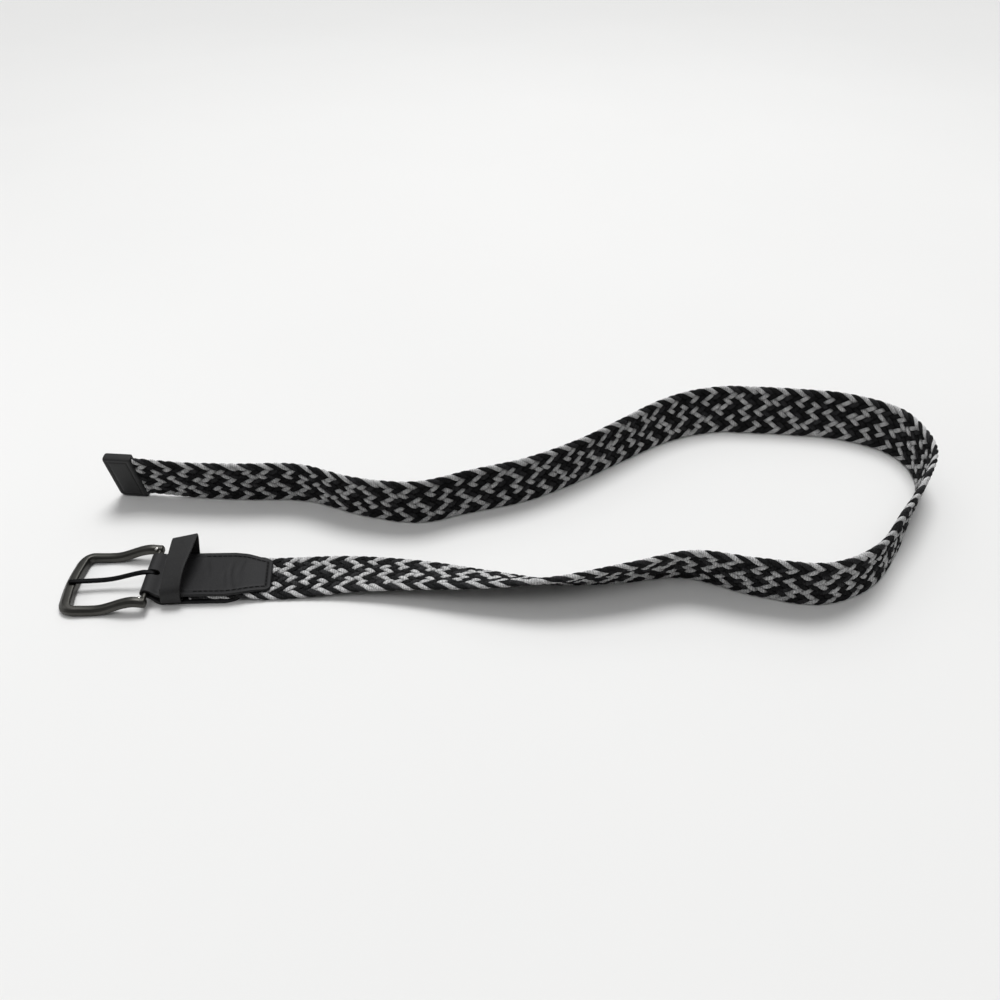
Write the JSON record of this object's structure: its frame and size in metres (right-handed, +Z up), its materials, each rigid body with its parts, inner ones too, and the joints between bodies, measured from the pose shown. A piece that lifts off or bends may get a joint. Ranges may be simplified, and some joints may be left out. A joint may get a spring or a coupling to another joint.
{
  "type": "elastic stretch belt",
  "caption": "Woven elastic belt lying open, with a leather tab, keeper and pronged buckle at one end and a leather cap at the other",
  "frame": {"origin": "middle of the footprint, on the surface that the belt lies on", "axes": "+Z up, +X along the belt from the buckle's front towards the bend, +Y from the buckle's stretch towards the cap's stretch"},
  "size_m": [0.5434, 0.1912, 0.0375],
  "materials": {
    "weave": "braided elastic yarn, black, charcoal and light grey",
    "leather": "smooth dark grey leather with creased edges",
    "gunmetal": "gunmetal plating, satin to polished",
    "black_steel": "black plated wire"
  },
  "bodies": {
    "belt": {"strap": "weave", "tab": "leather", "keeper": "leather", "end_cap": "leather"},
    "buckle": {"buckle_frame": "gunmetal"},
    "tongue": {"prong": "black_steel"}
  },
  "joints": [
    {"name": "buckle_hinge", "type": "hinge", "parent": "belt", "child": "buckle", "pos_m": [-0.22108, -0.05277, 0.00746], "axis": [0, 1, 0], "range_deg": [0, 45]},
    {"name": "prong_hinge", "type": "hinge", "parent": "buckle", "child": "tongue", "pos_m": [-0.22108, -0.05277, 0.00746], "axis": [0, 1, 0], "range_deg": [0, 48]}
  ]
}
